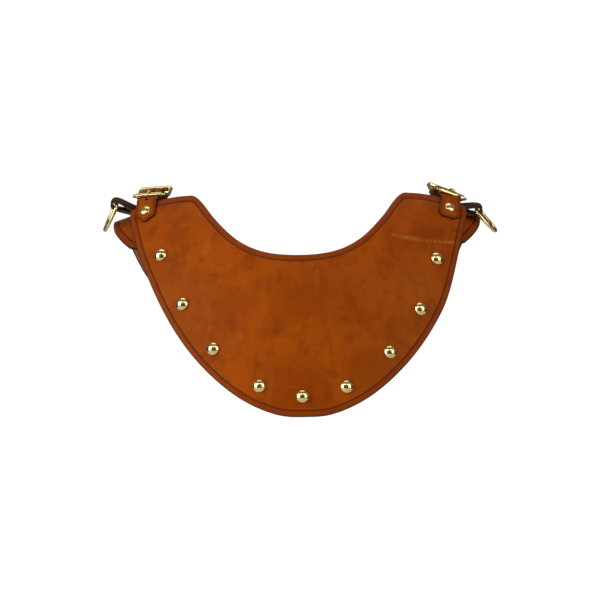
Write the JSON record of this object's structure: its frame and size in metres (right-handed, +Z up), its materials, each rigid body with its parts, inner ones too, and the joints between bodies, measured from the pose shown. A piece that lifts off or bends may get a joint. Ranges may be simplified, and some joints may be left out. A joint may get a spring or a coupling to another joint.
{
  "type": "leather gorget",
  "caption": "Bib-shaped leather gorget: curved breast and back plates edged with dome rivets, joined at each shoulder by a strap and roller buckle, with a D-ring on a folded tab beside it.",
  "frame": {"origin": "middle of the neck opening, level with the shoulder straps where the piece rests on its wearer", "axes": "+Z up, -Y to the wearer's chest (the breastplate's side), +X to the wearer's left"},
  "size_m": [0.3564, 0.2348, 0.2108],
  "materials": {
    "plate_leather": "vegetable-tanned, orange tan, waxed to a soft shine, dark dyed edges",
    "strap_leather": "tan strap leather with burnished dark edges",
    "dark_leather": "dark brown strap leather, satin",
    "brass_domes": "bright polished brass",
    "brass_fittings": "polished cast brass"
  },
  "bodies": {
    "front": {"breastplate": "plate_leather", "front_dome_rivet_1": "brass_domes", "front_dome_rivet_2": "brass_domes", "front_dome_rivet_3": "brass_domes", "front_dome_rivet_4": "brass_domes", "front_dome_rivet_5": "brass_domes", "front_dome_rivet_6": "brass_domes", "front_dome_rivet_7": "brass_domes", "front_dome_rivet_8": "brass_domes", "front_dome_rivet_9": "brass_domes", "right_strap_foot": "strap_leather", "right_strap_rivet": "brass_fittings", "left_strap_foot": "strap_leather", "left_strap_rivet": "brass_fittings"},
    "back": {"back_plate": "plate_leather", "back_dome_rivet_1": "brass_domes", "back_dome_rivet_2": "brass_domes", "back_dome_rivet_3": "brass_domes", "back_dome_rivet_4": "brass_domes", "back_dome_rivet_5": "brass_domes", "back_dome_rivet_6": "brass_domes", "back_dome_rivet_7": "brass_domes", "back_dome_rivet_8": "brass_domes", "back_dome_rivet_9": "brass_domes", "right_strap_tongue": "strap_leather", "right_chape": "strap_leather", "right_chape_rivet": "brass_fittings", "right_ring_tab": "dark_leather", "right_tab_rivet": "brass_fittings", "left_strap_tongue": "strap_leather", "left_chape": "strap_leather", "left_chape_rivet": "brass_fittings", "left_ring_tab": "dark_leather", "left_tab_rivet": "brass_fittings"},
    "right_frame": {"right_buckle_frame": "brass_fittings"},
    "right_roll": {"right_roller": "brass_fittings"},
    "right_pin": {"right_prong": "brass_fittings"},
    "right_dee": {"right_d_ring": "brass_fittings"},
    "left_frame": {"left_buckle_frame": "brass_fittings"},
    "left_roll": {"left_roller": "brass_fittings"},
    "left_pin": {"left_prong": "brass_fittings"},
    "left_dee": {"left_d_ring": "brass_fittings"}
  },
  "joints": [
    {"name": "shoulder_fold", "type": "hinge", "parent": "front", "child": "back", "pos_m": [0, -0.0215, -0.0024], "axis": [1, 0, 0], "range_deg": [0, 95]},
    {"name": "right_buckle_rock", "type": "hinge", "parent": "back", "child": "right_frame", "pos_m": [-0.13114, 0.00348, 0.00069], "axis": [-0.9768, 0.2076, -0.0523], "range_deg": [0, 3]},
    {"name": "right_roller_turn", "type": "hinge", "parent": "right_frame", "child": "right_roll", "pos_m": [-0.1345, -0.012, 0.002], "axis": [0.9768, -0.2076, 0.0523], "continuous": true},
    {"name": "right_prong_lift", "type": "hinge", "parent": "right_frame", "child": "right_pin", "pos_m": [-0.13114, 0.00348, 0.00069], "axis": [-0.9768, 0.2076, -0.0523], "range_deg": [0, 8]},
    {"name": "right_ring_swing", "type": "hinge", "parent": "back", "child": "right_dee", "pos_m": [-0.1642, -0.008, -0.0058], "axis": [0, 0.9816, 0.1908], "range_deg": [0, 150]},
    {"name": "left_buckle_rock", "type": "hinge", "parent": "back", "child": "left_frame", "pos_m": [0.13302, 0.00281, -0.00225], "axis": [-0.8937, -0.2904, 0.342], "range_deg": [0, 3]},
    {"name": "left_roller_turn", "type": "hinge", "parent": "left_frame", "child": "left_roll", "pos_m": [0.1385, -0.012, -0.0005], "axis": [0.8937, 0.2904, -0.342], "continuous": true},
    {"name": "left_prong_lift", "type": "hinge", "parent": "left_frame", "child": "left_pin", "pos_m": [0.13302, 0.00281, -0.00225], "axis": [-0.8937, -0.2904, 0.342], "range_deg": [0, 8]},
    {"name": "left_ring_swing", "type": "hinge", "parent": "back", "child": "left_dee", "pos_m": [0.1612, -0.008, -0.0152], "axis": [0, -0.9816, -0.1908], "range_deg": [0, 135]}
  ]
}
